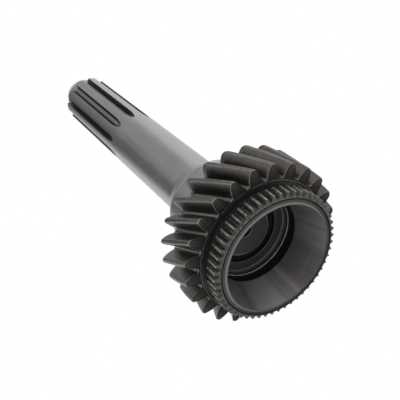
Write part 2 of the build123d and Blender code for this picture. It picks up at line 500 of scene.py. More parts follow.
def gap_opening(z):
    """How much the deburring tool has opened the gap of the gear teeth at a height."""
    front = EDGE_DEPTH_FRONT * (1 - (z - GEAR_FRONT_Z) / EDGE_LENGTH_FRONT)
    back = EDGE_DEPTH_BACK * (1 - (GEAR_BACK_Z - z) / EDGE_LENGTH_BACK)
    return max(0.0, front, back)


def flank_angle(r, opening):
    """The angle of a tooth's flank from the middle of the gap beside it."""
    return gap_half_angle(r) + opening / r


def gear_row(z):
    """One section of the gear, from the middle of a tooth across a gap to the next tooth."""
    tip_r = tip_radius(z)
    opening = gap_opening(z)
    root_r = GEAR_ROOT_R - opening
    base_x, base_y = on_circle(GEAR_BASE_R, flank_angle(GEAR_BASE_R, opening))
    half = []
    for t in steps(0.0, pi / 2, ROOT_STEPS)[:-1]:
        half.append((root_r + (base_x - root_r) * (1 - cos(t)), base_y * sin(t)))
    for r in steps(GEAR_BASE_R, tip_r - LAND_EDGE_ROUNDING, FLANK_STEPS):
        half.append(on_circle(r, flank_angle(r, opening)))
    edge = flank_angle(tip_r, opening)
    land = steps(edge + LAND_EDGE_ROUNDING / tip_r, pi / GEAR_TEETH, GEAR_LAND_STEPS)
    land_start = on_circle(tip_r, land[0])
    half += corner_curve(half[-1], on_circle(tip_r, edge), land_start, CORNER_STEPS)[1:]
    half += [on_circle(tip_r, angle) for angle in land[1:]]
    other = [tooth_point(x, -y, z) for x, y in reversed(half[1:])]
    return other + [tooth_point(x, y, z) for x, y in half]


def circle_row(r, z, like, centre):
    """Points on a circle at the angles of a row of points that has already been made."""
    heading = Vector(on_circle(1.0, centre))
    return [turned(r, 0.0, z, centre + Vector((x, y)).angle_signed(heading)) for x, y, _ in like]


def gear_ring(finish):
    """The helical gear: a sector from one tooth to the next, with both of its faces."""
    front = [GEAR_FRONT_Z + share * TIP_ROUNDING_FRONT for share in FRONT_SECTIONS]
    body = steps(GEAR_FRONT_Z + GEAR_BODY_FRONT, GEAR_BACK_Z - GEAR_BODY_BACK, GEAR_BODY_STEPS)
    back = [GEAR_BACK_Z - share * TIP_ROUNDING_BACK for share in BACK_SECTIONS]
    rows = [gear_row(z) for z in front + body + back]
    outline = [
        (GEAR_BORE_R, GEAR_RECESS_Z, 0),
        (GEAR_RECESS_R, GEAR_RECESS_Z, GEAR_RECESS_ROUNDING),
        (GEAR_RECESS_R, GEAR_FRONT_Z, EDGE_BREAK),
        (GEAR_RECESS_R + GEAR_RECESS_LAND, GEAR_FRONT_Z, 0),
    ]
    front_turn = gear_turn(GEAR_FRONT_Z)
    recess = [circle_row(r, z, rows[0], front_turn) for r, z in rounded(outline)]
    bore = [circle_row(GEAR_BORE_R, GEAR_BACK_Z, rows[-1], gear_turn(GEAR_BACK_Z))]
    sector = sheet_of("gear", recess + rows + bore, closed=True)
    return ring_of("gear", sector, GEAR_TEETH, finish)


# Mouth, dog teeth and neck


def dog_ring_rows():
    """The dog teeth, from the front of their roots over their points and crests to the back."""
    rise = DOG_CREST_WIDTH / 2 / tan(DOG_POINT_ANGLE)
    crest_front_z = DOG_FRONT_Z + DOG_CREST_SETBACK
    crest_back_z = DOG_BACK_Z - DOG_BACK_SETBACK
    side_z = DOG_FRONT_Z + DOG_ROOT_WIDTH / 2 / tan(DOG_POINT_ANGLE)
    flank_z = crest_front_z + rise
    root, tip = DOG_ROOT_R, DOG_TIP_R
    return [
        [(root, DOG_FRONT_Z)] * 4,
        [(root, DOG_FRONT_Z), (root, DOG_FRONT_Z + rise), (root, side_z), (root, side_z)],
        [(tip, crest_front_z), (tip, flank_z), (root, flank_z), (root, flank_z)],
        [(tip, crest_back_z), (tip, crest_back_z), (root, DOG_BACK_Z), (root, DOG_BACK_Z)],
        [(root, DOG_BACK_Z)] * 4,
    ]


def face_groove_outline():
    """The shallow groove turned into the face of the dog ring."""
    outer, inner = FACE_GROOVE_WIDTH / 2, FACE_GROOVE_WIDTH / 4
    floor_z = DOG_FRONT_Z + FACE_GROOVE_DEPTH
    return [
        (FACE_GROOVE_R - outer, DOG_FRONT_Z, FACE_ROUNDING),
        (FACE_GROOVE_R - inner, floor_z, FACE_ROUNDING),
        (FACE_GROOVE_R + inner, floor_z, FACE_ROUNDING),
        (FACE_GROOVE_R + outer, DOG_FRONT_Z, FACE_ROUNDING),
    ]


def mouth_outline():
    """The mouth from its lathe centre out to the dog ring's face, as a lathe outline."""
    cone_z = BOSS_Z + (BOSS_CENTRE_MOUTH_R - BOSS_CENTRE_R) / tan(CENTRE_HALF_ANGLE)
    return [
        (0, BOSS_Z + BOSS_CENTRE_DEPTH, 0),
        (BOSS_CENTRE_R, BOSS_Z + BOSS_CENTRE_DEPTH, CENTRE_FLOOR_ROUNDING),
        (BOSS_CENTRE_R, cone_z, EDGE_BREAK),
        (BOSS_CENTRE_MOUTH_R, BOSS_Z, EDGE_BREAK),
        (BOSS_R, BOSS_Z, BOSS_ROUNDING),
        (BOSS_R, RING_GROOVE_Z, RING_GROOVE_ROUNDING),
        (RING_GROOVE_R, RING_GROOVE_Z, RING_GROOVE_ROUNDING),
        (RING_GROOVE_R, POCKET_FLOOR_Z, EDGE_BREAK),
        (POCKET_R, POCKET_FLOOR_Z, POCKET_CORNER_R),
        (POCKET_R, POCKET_Z, EDGE_BREAK),
        (RELIEF_R, POCKET_Z, RELIEF_ROUNDING),
        (RELIEF_R, RELIEF_Z, RELIEF_ROUNDING),
        (CONE_SMALL_R, RELIEF_Z, EDGE_BREAK),
        (MOUTH_R, 0, RIM_ROUNDING),
        (MOUTH_R + LIP_FLAT, 0, RIM_ROUNDING),
        (MOUTH_R + LIP_FLAT + LIP_SLOPE_WIDTH, LIP_SLOPE_HEIGHT, LIP_SLOPE_ROUNDING),
        (LIP_R, DOG_FRONT_Z, FACE_ROUNDING),
        *face_groove_outline(),
        (DOG_ROOT_R - DOG_FACE_INSET, DOG_FRONT_Z, 0),
    ]


def neck_outline():
    """The neck behind the dog teeth, and on into the gear, where it is hidden."""
    hidden_r = NECK_R + 2 * NECK_FILLET
    return [
        (DOG_ROOT_R - DOG_BACK_INSET, DOG_BACK_Z, 0),
        (NECK_R, DOG_BACK_Z, NECK_FILLET),
        (NECK_R, GEAR_RECESS_Z, NECK_FILLET),
        (hidden_r, GEAR_RECESS_Z + HIDDEN_STEP, 0),
        (hidden_r, GEAR_RECESS_Z + NECK_FILLET, 0),
        (GEAR_BORE_R, MOUTH_CORE_Z - NECK_LENGTH, 0),
        (CORE_R, MOUTH_CORE_Z, 0),
        (0, MOUTH_CORE_Z, 0),
    ]


def mouth_ring(finish):
    """The mouth, the dog teeth and the neck: a sector that is one dog tooth wide."""
    half = [0.0, DOG_CREST_WIDTH / 2 / DOG_TIP_R, DOG_ROOT_WIDTH / 2 / DOG_ROOT_R, pi / DOG_TEETH]
    columns = [-a for a in reversed(half[1:])] + half
    inside = [[point] * len(half) for point in rounded(mouth_outline())]
    behind = [[point] * len(half) for point in rounded(neck_outline())]
    rows = []
    for points in inside + dog_ring_rows() + behind:
        across = list(reversed(points[1:])) + points
        rows.append([turned(r, 0.0, z, DOG_PHASE + a) for (r, z), a in zip(across, columns)])
    point_row = len(inside) + 1
    folds = {(point_row, 1): "right", (point_row, 4): "left"}
    sector = sheet_of("mouth", rows, folds=folds)
    return ring_of("mouth", sector, DOG_TEETH, finish, DOG_EDGE_BEVEL)


# Shaft


def groove_corners():
    """Root and top corners of a spline groove, whose sides are flat and parallel to the tooth."""
    half_pitch = pi / SPLINE_TEETH
    half_root = half_pitch - asin(SPLINE_TOOTH_WIDTH / 2 / SPLINE_ROOT_R)
    half_top = half_pitch - asin(SPLINE_TOOTH_WIDTH / 2 / SHAFT_R)
    return Vector(on_circle(SPLINE_ROOT_R, half_root)), Vector(on_circle(SHAFT_R, half_top))


def cutter_excess(x, y, z):
    """Below zero inside the round cutter that runs out of the spline groove, above zero outside."""
    reach = sqrt((TOOL_AXIS_R - x) ** 2 + (FULL_Z - z) ** 2)
    return y * y - RUNOUT_BLUNTNESS * (RUNOUT_CUTTER_R - reach)


def crossing(function, inside, outside):
    """Halves an interval until it closes on the place where a function changes sign."""
    for _ in range(HALVINGS):
        middle = (inside + outside) / 2
        if function(middle) < 0:
            inside = middle
        else:
            outside = middle
    return (inside + outside) / 2


def cut_corners(z):
    """The groove's root and top corners at a height, as far as the round cutter has opened it."""
    root, top = groove_corners()
    if z >= FULL_Z:
        return root, top
    if cutter_excess(top.x, top.y, z) > 0:
        angle = crossing(lambda a: cutter_excess(*on_circle(SHAFT_R, a), z), 0.0, angle_of(top))
        edge = Vector(on_circle(SHAFT_R, angle))
        return edge, edge
    if cutter_excess(root.x, root.y, z) > 0:
        share = crossing(lambda s: cutter_excess(*root.lerp(top, s), z), 1.0, 0.0)
        return root.lerp(top, share), top
    return root, top


def groove_floor(y, z):
    """Depth of the groove's floor at a distance from its middle: cutter or root, whichever is out."""
    root = sqrt(SPLINE_ROOT_R**2 - y * y)
    if z >= FULL_Z:
        return root
    reach = RUNOUT_CUTTER_R - y * y / RUNOUT_BLUNTNESS
    return max(root, TOOL_AXIS_R - sqrt(max(0.0, reach**2 - (FULL_Z - z) ** 2)))


def groove_half(z):
    """Half a section of the clutch spline, from the middle of a groove to the middle of a tooth."""
    corner, top = cut_corners(z)
    half = [(groove_floor(y, z), y) for y in steps(0.0, corner.y, FLOOR_STEPS)]
    half += [tuple(corner.lerp(top, share)) for share in steps(0.0, 1.0, WALL_STEPS)[1:]]
    land = steps(angle_of(top), pi / SPLINE_TEETH, LAND_STEPS)[1:]
    return half + [on_circle(SHAFT_R, angle) for angle in land]


def mirrored_row(half, z):
    """A full sector row from its half, which starts in the middle."""
    return [(x, -y, z) for x, y in reversed(half[1:])] + [(x, y, z) for x, y in half]


def plain_row(r, z):
    """A row of the plain turned shaft."""
    angles = steps(0.0, pi / SPLINE_TEETH, FLOOR_STEPS + WALL_STEPS + LAND_STEPS)
    return mirrored_row([on_circle(r, angle) for angle in angles], z)


def nose_row(r, z):
    """A row of the nose, at the angles of the spline's end."""
    angles = [angle_of(point) for point in groove_half(SPLINE_END_Z)]
    root, _ = groove_corners()
    for k in range(FLOOR_STEPS, FLOOR_STEPS + WALL_STEPS + 1):
        angles[k] = angle_of(root)
    return mirrored_row([on_circle(r, angle) for angle in angles], z)


def shaft_foot_outline():
    """From inside the gear out to the shoulder, up the bearing seat and the taper to the shank."""
    return [
        (0, SHAFT_CORE_Z, 0),
        (CORE_R, SHAFT_CORE_Z, 0),
        (SEAT_R, SHAFT_FOOT_Z, 0),
        (SHOULDER_R, SHAFT_FOOT_Z, 0),
        (SHOULDER_R, SHOULDER_Z, EDGE_BREAK),
        (SEAT_R, SHOULDER_Z, SEAT_FOOT_ROUNDING),
        (SEAT_R, SEAT_END_Z, SEAT_END_ROUNDING),
        (SHAFT_R, SHANK_START_Z, TAPER_END_ROUNDING),
        (SHAFT_R, RUNOUT_Z - SHANK_REST, 0),
    ]


def nose_outline():
    """The nose from the end of the spline to the bottom of its lathe centre."""
    cone_z = TOTAL_LENGTH - (NOSE_CENTRE_MOUTH_R - NOSE_CENTRE_R) / tan(CENTRE_HALF_ANGLE)
    return [
        (SPLINE_ROOT_R, SPLINE_END_Z + SPLINE_END_CHAMFER, 0),
        (SPLINE_ROOT_R, TOTAL_LENGTH - NOSE_TAPER_LENGTH, NOSE_ROUNDING),
        (NOSE_TIP_R, TOTAL_LENGTH, NOSE_ROUNDING),
        (NOSE_CENTRE_MOUTH_R, TOTAL_LENGTH, EDGE_BREAK),
        (NOSE_CENTRE_R, cone_z, EDGE_BREAK),
        (NOSE_CENTRE_R, TOTAL_LENGTH - NOSE_CENTRE_DEPTH, CENTRE_FLOOR_ROUNDING),
        (0, TOTAL_LENGTH - NOSE_CENTRE_DEPTH, 0),
    ]


def shaft_ring(finish):
    """The bearing seat, shank, clutch spline and nose: a sector round one groove of the spline."""
    shares = steps(0.0, 1.0, RUNOUT_STEPS)
    heights = [RUNOUT_Z + RUNOUT_LENGTH * share**RUNOUT_CROWDING for share in shares]
    heights += steps(FULL_Z, SPLINE_END_Z, SPLINE_STEPS)[1:]
    rows = [plain_row(r, z) for r, z in rounded(shaft_foot_outline())]
    rows += [mirrored_row(groove_half(z), z) for z in heights]
    rows += [nose_row(r, z) for r, z in rounded(nose_outline())]
    return ring_of("shaft", sheet_of("shaft", rows), SPLINE_TEETH, finish)


# Finishes. A clouded steel has two colours, for the thin and the thick of its clouds

GROUND_STEEL = (0.32, 0.31, 0.325), (0.39, 0.38, 0.395)
SATIN_STEEL = (0.25, 0.247, 0.247), (0.30, 0.297, 0.297)
TURNED_STEEL = (0.13, 0.128, 0.125), (0.17, 0.168, 0.165)
OILY_GEAR_STEEL = (0.085, 0.080, 0.074), (0.135, 0.126, 0.118)
OILY_RING_STEEL = (0.083, 0.081, 0.074), (0.128, 0.124, 0.114)

# Spline grooves from the middle of the floor to the wall, and the lip from its side of painted shade to
# its side of painted light
GROOVE_STEEL = (0.25, 0.245, 0.252), (0.085, 0.082, 0.085)
LIP_SHADED_AND_LIT = (0.145, 0.138, 0.132), (0.19, 0.187, 0.18)

# Single colours of the shaft
SEAT_LINE = (0.22, 0.215, 0.225)
# A painted highlight at the end of the bearing seat
SEAT_HIGHLIGHT = (0.42, 0.41, 0.425)
# Black painted shade in the root corners of the spline grooves
GROOVE_CORNER_SHADE = (0.02, 0.02, 0.02)

# Single colours of the gear
GEAR_LAND = (0.15, 0.145, 0.138)
# Painted highlights on the deburred edges and rounded tips of the gear teeth, and at their roots
GEAR_EDGE_HIGHLIGHT = (0.24, 0.23, 0.22)
GEAR_ROOT_HIGHLIGHT = (0.34, 0.33, 0.32)
GEAR_FACE = (0.072, 0.068, 0.062)
# The recess is painted lighter against its shade, and its rim carries a painted highlight
GEAR_RECESS_PAINTED_LIGHT = (0.2, 0.195, 0.185)
RECESS_RIM_HIGHLIGHT = (0.5, 0.49, 0.465)
GEAR_GRIME = (0.04, 0.038, 0.034)

# Single colours of the mouth and the dog ring
RING_FACE = (0.073, 0.0715, 0.067)
# A painted highlight at the roots of the dog teeth
DOG_ROOT_HIGHLIGHT = (0.16, 0.155, 0.147)
DOG_CREST = (0.29, 0.287, 0.277)
# A painted highlight on the back edge of the dog ring
DOG_BACK_EDGE_HIGHLIGHT = (0.36, 0.352, 0.34)
RING_GRIME = (0.03, 0.029, 0.027)
# Black painted shade in the recesses of the mouth
RECESS_SHADE_BLACK = (0.03, 0.03, 0.029)
POCKET_SHADE = (0.05, 0.05, 0.05)
# Painted highlights on the inner edges of the mouth
INNER_EDGE_HIGHLIGHT = (0.55, 0.54, 0.52)
# Lengthwise bands of painted reflection in the cone: dark, bright, far and reddish. Its streaks and
# marks are random tone
CONE_DARK_REFLECTION = (0.165, 0.162, 0.16)
CONE_BRIGHT_REFLECTION = (0.40, 0.395, 0.39)
CONE_FAR_REFLECTION = (0.40, 0.395, 0.40)
CONE_STREAK = (0.13, 0.128, 0.126)
CONE_REDDISH_REFLECTION = (0.34, 0.272, 0.255)
CONE_MARK = (0.42, 0.415, 0.415)

# Noise: how many clouds or spots go to a metre, how fine they are, and how far apart tool marks lie
SHAFT_CLOUDS = 60.0
GEAR_CLOUDS = 90.0
GRIME_SPOTS = 520.0
CLOUD_DETAIL = 3.0
MARK_DETAIL = 2.0
SHAFT_MARK_PITCH = 0.45 * MM
MOUTH_MARK_PITCH = 0.9 * MM
HOB_MARK_PITCH = 0.35 * MM
MARK_DEPTH = 0.02 * MM

# Roughness of the plain steels, and what is added to it where they are clouded, milled or in the
# recesses painted black as shade
SHAFT_ROUGHNESS = 0.30
GEAR_ROUGHNESS = 0.34
MOUTH_ROUGHNESS = 0.32
CLOUDED = 0.10
GEAR_CLOUDED = 0.12
MILLED = 0.10
CONE_SATIN = 0.12
POCKET_DULL = 0.3
RECESS_DULL = 0.4


def side(start, end, edge):
    """A side of the shaft between two angles round its axis, with a soft edge, all in degrees."""
    return radians(start), radians(end), radians(edge)


# The side of the shaft where the gear's painted edge highlight is strongest
EDGE_HIGHLIGHT_SIDE = side(-140.0, -55.0, 12.0)
# The side where the lip is painted lighter, as painted light
LIP_LIT_SIDE = side(-130.0, 50.0, 20.0)
# Sides of the cone where its bands of painted reflection lie
CONE_DARK_REFLECTION_SIDE = side(106.0, 152.0, 9.0)
CONE_BRIGHT_REFLECTION_SIDE = side(60.0, 96.0, 14.0)
CONE_FAR_REFLECTION_SIDE = side(172.0, 206.0, 6.0)
CONE_REDDISH_REFLECTION_SIDE = side(153.0, 158.0, 1.2)


class Finish(Tree):
    """A metal finish: a material, the places on the shaft that it reads, and its one shader."""

    def __init__(self, name):
        self.material = bpy.data.materials.new(name)
        self.material.use_nodes = True
        super().__init__(self.material.node_tree)
        self.here = self.node("ShaderNodeTexCoord", output="Object")
        split = {"Vector": self.here}
        x, y, self.z = (self.node("ShaderNodeSeparateXYZ", {}, split, axis) for axis in "XYZ")
        self.r = self.math("SQRT", x * x + y * y)
        self.angle = self.math("ARCTAN2", y, x)

    def band(self, value, low, high, edge):
        """1 between low and high, and 0 outside them."""
        inside = self.ramp(value, low - edge, low + edge)
        return inside * (1 - self.ramp(value, high - edge, high + edge))

    def blend(self, share, first, second):
        """First colour where share is 0, and second where it is 1."""
        sockets = {"Factor": share}
        for name, colour in ((6, first), (7, second)):
            sockets[name] = colour if isinstance(colour, Wire) else (*colour, 1.0)
        return self.node("ShaderNodeMix", {"data_type": "RGBA"}, sockets, 2)

    def coats(self, colour, *layers):
        """Lays coats over a colour in turn. Each is its mask, how far it covers, and its colour."""
        for mask, cover, coat in layers:
            colour = self.blend(mask if cover == 1 else mask * cover, colour, coat)
        return colour

    def place(self, x, y, z):
        """A vector, as the place at which noise is read."""
        return self.node("ShaderNodeCombineXYZ", {}, {"X": x, "Y": y, "Z": z})

    def noise(self, where, scale, detail):
        """Smooth noise, about 0.5 on average."""
        sockets = {"Vector": where, "Scale": scale, "Detail": detail}
        return self.node("ShaderNodeTexNoise", {}, sockets)

    def bump(self, height, strength):
        """The surface's normal, tilted by marks."""
        sockets = {"Height": height, "Distance": MARK_DEPTH, "Strength": strength}
        return self.node("ShaderNodeBump", {}, sockets)

    def metal(self, colour, roughness, normal):
        """Puts the one shader on the material, and gives the material."""
        sockets = {"Base Color": colour, "Roughness": roughness, "Metallic": 1.0, "Normal": normal}
        shader = self.node("ShaderNodeBsdfPrincipled", {}, sockets)
        self.node("ShaderNodeOutputMaterial", {}, {"Surface": shader})
        return self.material


def grime(steel):
    """Small uneven patches of dried oil."""
    return steel.ramp(steel.noise(steel.here, GRIME_SPOTS, MARK_DETAIL), 0.5, 0.64)


def turning_marks(steel, pitch):
    """Fine rings left by the lathe or the grinding wheel, uneven from one to the next."""
    around = steel.place(steel.angle * 1.5, 0.0, (steel.z + steel.r) / pitch)
    return steel.noise(around, 1.0, MARK_DETAIL)


def hob_marks(steel):
    """Fine lines left by the hob, which follow the helix of the teeth."""
    around = steel.angle + steel.z * TWIST
    where = steel.place(around * 3.0, steel.r / HOB_MARK_PITCH, steel.z * 20.0)
    return steel.noise(where, 1.0, MARK_DETAIL)


def seat_colour(steel, cloud):
    """Ground steel, with a duller line and a painted highlight at the end of the bearing seat."""
    line = steel.band(steel.z, SEAT_END_Z - 3.2 * MM, SEAT_END_Z + 0.5 * MM, 0.2 * MM)
    # The bright band near the seat's end is a painted highlight
    edge = steel.band(steel.z, SEAT_END_Z - 2.4 * MM, SEAT_END_Z - 0.4 * MM, 0.2 * MM)
    ground = steel.blend(cloud, *GROUND_STEEL)
    return steel.coats(ground, (line, 0.7, SEAT_LINE), (edge, 1, SEAT_HIGHLIGHT))


def groove_colour(steel):
    """Spline grooves: bright in the middle of the floor, darker walls, and corners blackened as painted
    shade.
    """
    half_pitch = pi / SPLINE_TEETH
    from_middle = steel.math("WRAP", steel.angle, half_pitch, -half_pitch)
    aside = steel.math("ABSOLUTE", from_middle) * steel.r
    wall = steel.ramp(aside, 1.1 * MM, 1.7 * MM)
    # The black at the root corners is painted shade
    corner = steel.band(aside, 1.5 * MM, 2.3 * MM, 0.2 * MM)
    low = 1 - steel.ramp(steel.r, SPLINE_ROOT_R + 0.8 * MM, SPLINE_ROOT_R + 2.0 * MM)
    return steel.coats(steel.blend(wall, *GROOVE_STEEL), (corner * low, 0.8, GROOVE_CORNER_SHADE))


def shaft_finish():
    """Ground seat, shank and tooth tops, milled grooves and a turned nose."""
    steel = Finish("ground shaft steel")
    cloud = steel.noise(steel.here, SHAFT_CLOUDS, CLOUD_DETAIL)
    in_groove = steel.ramp(SHAFT_R - 0.1 * MM - steel.r, 0.0, 0.3 * MM)
    milled = in_groove * steel.band(steel.z, RUNOUT_Z, SPLINE_END_Z, 0.2 * MM)
    colour = steel.blend(milled, seat_colour(steel, cloud), groove_colour(steel))
    roughness = SHAFT_ROUGHNESS + cloud * CLOUDED + milled * MILLED
    return steel.metal(colour, roughness, steel.bump(turning_marks(steel, SHAFT_MARK_PITCH), 0.5))


def tooth_ends(steel):
    """Masks of the gear teeth's front faces, which lean back, and of the painted highlight on their
    deburred edges, stronger on one side.
    """
    slope = (steel.r - GEAR_ROOT_R) / (GEAR_TIP_R - GEAR_ROOT_R)
    past_face = steel.z - GEAR_FRONT_Z - steel.math("MAXIMUM", slope, 0.0) * TIP_SETBACK_FRONT
    face = 1 - steel.ramp(past_face, 0.06 * MM, 0.12 * MM)
    edge = steel.band(past_face, 0.12 * MM, 0.42 * MM, 0.04 * MM)
    # The edge highlight is painted stronger on one side of the shaft
    highlit_side = steel.band(steel.angle, *EDGE_HIGHLIGHT_SIDE)
    return face, edge * (0.35 + highlit_side * 0.65)


def gear_recess(steel):
    """Masks of the recess in the gear's front face, painted lighter against its shade, and of the
    painted highlight on the rim round it.
    """
    recess = 1 - steel.ramp(steel.r, GEAR_RECESS_R, GEAR_RECESS_R + 0.3 * MM)
    recess = recess * (1 - steel.ramp(steel.z, GEAR_FRONT_Z + 3.0 * MM, GEAR_FRONT_Z + 4.0 * MM))
    # A painted highlight on the rim of the recess
    rim = steel.band(steel.r, GEAR_RECESS_R + 0.1 * MM, GEAR_RECESS_R + 0.6 * MM, 0.08 * MM)
    rim = rim * (1 - steel.ramp(steel.z, GEAR_FRONT_Z + 0.5 * MM, GEAR_FRONT_Z + 0.7 * MM))
    return recess, rim


def gear_finish():
    """Hobbed teeth, dark with oil, with brighter lands, and painted highlights on the roots and
    deburred front edges.
    """
    steel = Finish("hobbed gear steel")
    cloud = steel.noise(steel.here, GEAR_CLOUDS, CLOUD_DETAIL)
    land = steel.ramp(steel.r, GEAR_TIP_R - 0.5 * MM, GEAR_TIP_R - 0.2 * MM)
    # A painted highlight on the rounded edges of the tips
    tip_edge_highlight = steel.band(steel.r, GEAR_TIP_R - 0.6 * MM, GEAR_TIP_R - 0.2 * MM, 0.1 * MM)
    # A painted highlight: a thin bright line at the roots
    root = 1 - steel.ramp(steel.r, GEAR_ROOT_R + 0.01 * MM, GEAR_ROOT_R + 0.09 * MM)
    face, edge = tooth_ends(steel)
    recess, rim = gear_recess(steel)
    colour = steel.coats(
        steel.blend(cloud, *OILY_GEAR_STEEL),
        (land, 1, GEAR_LAND),
        (tip_edge_highlight, 0.6, GEAR_EDGE_HIGHLIGHT),
        (root, 0.6, GEAR_ROOT_HIGHLIGHT),
        (edge, 1, GEAR_EDGE_HIGHLIGHT),
        (face, 1, GEAR_FACE),
        (recess, 1, GEAR_RECESS_PAINTED_LIGHT),
        (rim, 1, RECESS_RIM_HIGHLIGHT),
        (grime(steel), 0.3, GEAR_GRIME),
    )
    roughness = GEAR_ROUGHNESS + cloud * GEAR_CLOUDED
    return steel.metal(colour, roughness, steel.bump(hob_marks(steel), 0.4))


def outside_mask(steel):
    """The outside of the dog ring and of the neck behind it."""
    ring = steel.ramp(steel.r, DOG_ROOT_R - 0.5 * MM, DOG_ROOT_R - 0.3 * MM)
    behind = steel.ramp(steel.z, DOG_BACK_Z - 0.5 * MM, DOG_BACK_Z - 0.2 * MM)
    neck = behind * steel.ramp(steel.r, NECK_R - 0.6 * MM, NECK_R - 0.3 * MM)
    return steel.math("MAXIMUM", ring, neck)


def ring_coats(steel, outside):
    """The dog ring's face, tooth roots with a painted highlight, crests, and the grime on all of them.
    """
    face = outside * (1 - steel.ramp(steel.z, DOG_FRONT_Z + 0.05 * MM, DOG_FRONT_Z + 0.2 * MM))
    # The roots are painted brighter: a painted highlight
    roots = 1 - steel.ramp(steel.r, DOG_ROOT_R + 0.1 * MM, DOG_ROOT_R + 0.4 * MM)
    roots = roots * (1 - steel.ramp(steel.z, DOG_BACK_Z - 1.2 * MM, DOG_BACK_Z - 0.6 * MM))
    crest = steel.ramp(steel.r, DOG_TIP_R - 0.3 * MM, DOG_TIP_R - 0.05 * MM)
    return (
        (face, 1, RING_FACE),
        (roots * outside, 1, DOG_ROOT_HIGHLIGHT),
        (crest, 1, DOG_CREST),
        (grime(steel) * outside, 0.6, RING_GRIME),
    )


def ring_back_edge_highlight(steel):
    """The painted highlight on the back edge of the dog ring."""
    edge = steel.band(steel.z, DOG_BACK_Z - 0.55 * MM, DOG_BACK_Z + 0.05 * MM, 0.08 * MM)
    return edge * steel.ramp(steel.r, DOG_ROOT_R - 0.1 * MM, DOG_ROOT_R)


def cone_colour(steel, cloud, marks):
    """The ground cone: fine rings, lengthwise streaks of random tone, and lighter, darker and reddish
    lengthwise bands of painted reflection.
    """
    turn = steel.math("WRAP", steel.angle, 2 * pi, 0.0)
    streaks = steel.noise(steel.place(steel.angle * 8.0, 0.0, 0.0), 1.0, 1.0)
    return steel.coats(
        steel.blend(cloud, *SATIN_STEEL),
        (steel.band(steel.angle, *CONE_DARK_REFLECTION_SIDE), 1, CONE_DARK_REFLECTION),
        (steel.band(steel.angle, *CONE_BRIGHT_REFLECTION_SIDE), 0.6, CONE_BRIGHT_REFLECTION),
        (steel.ramp(streaks, 0.42, 0.62), 0.3, CONE_STREAK),
        (steel.band(turn, *CONE_FAR_REFLECTION_SIDE), 0.7, CONE_FAR_REFLECTION),
        (steel.band(turn, *CONE_REDDISH_REFLECTION_SIDE), 1, CONE_REDDISH_REFLECTION),
        (steel.ramp(marks, 0.45, 0.75), 0.14, CONE_MARK),
    )


def inner_edge_highlights(steel):
    """Painted highlights on the edge of the pocket, the rounded edge of the boss and the rim of its
    lathe centre.
    """
    pocket = steel.band(steel.z, POCKET_Z - 0.1 * MM, POCKET_Z + 0.3 * MM, 0.05 * MM)
    pocket = pocket * (1 - steel.ramp(steel.r, POCKET_R + 0.25 * MM, POCKET_R + 0.35 * MM))
    boss = steel.band(steel.r, BOSS_R - 1.4 * MM, BOSS_R - 0.5 * MM, 0.2 * MM)
    boss = boss * steel.band(steel.z, BOSS_Z - 0.1 * MM, BOSS_Z + 1.3 * MM, 0.1 * MM)
    centre = steel.band(steel.r, BOSS_CENTRE_MOUTH_R, BOSS_CENTRE_MOUTH_R + 0.5 * MM, 0.1 * MM)
    return pocket + boss * 0.8 + centre * 0.35


def recess_shade(steel, outside):
    """Painted black shade in the recesses: neck, relief, ring groove, lathe centre and the groove in
    the face.
    """
    neck = outside * steel.ramp(steel.z, DOG_BACK_Z - 2.0 * MM, DOG_BACK_Z - 0.8 * MM)
    relief = steel.band(steel.z, RELIEF_Z, POCKET_Z + 0.2 * MM, 0.1 * MM) * (1 - outside)
    relief = relief * steel.ramp(steel.r, POCKET_R + 0.3 * MM, POCKET_R + 0.4 * MM)
    groove = steel.ramp(steel.z, POCKET_FLOOR_Z + 0.2 * MM, POCKET_FLOOR_Z + 0.5 * MM)
    groove = groove * steel.ramp(steel.r, BOSS_R - 0.2 * MM, BOSS_R)
    hole = 1 - steel.ramp(steel.r, BOSS_CENTRE_MOUTH_R - 0.5 * MM, BOSS_CENTRE_MOUTH_R - 0.2 * MM)
    face = steel.band(steel.r, FACE_GROOVE_R - 0.45 * MM, FACE_GROOVE_R + 0.45 * MM, 0.1 * MM)
    floor_z = DOG_FRONT_Z + FACE_GROOVE_DEPTH
    face = face * (1 - steel.ramp(steel.z, floor_z + 0.1 * MM, floor_z + 0.2 * MM))
    return neck * 0.65 + relief + groove + hole + face


def pocket_mask(steel, outside):
    """The inside of the pocket, apart from the boss."""
    deep = steel.band(steel.z, POCKET_Z + 0.5 * MM, POCKET_FLOOR_Z - 0.1 * MM, 0.2 * MM)
    return deep * (1 - outside) * steel.ramp(steel.r, BOSS_R, BOSS_R + 2.0 * MM)


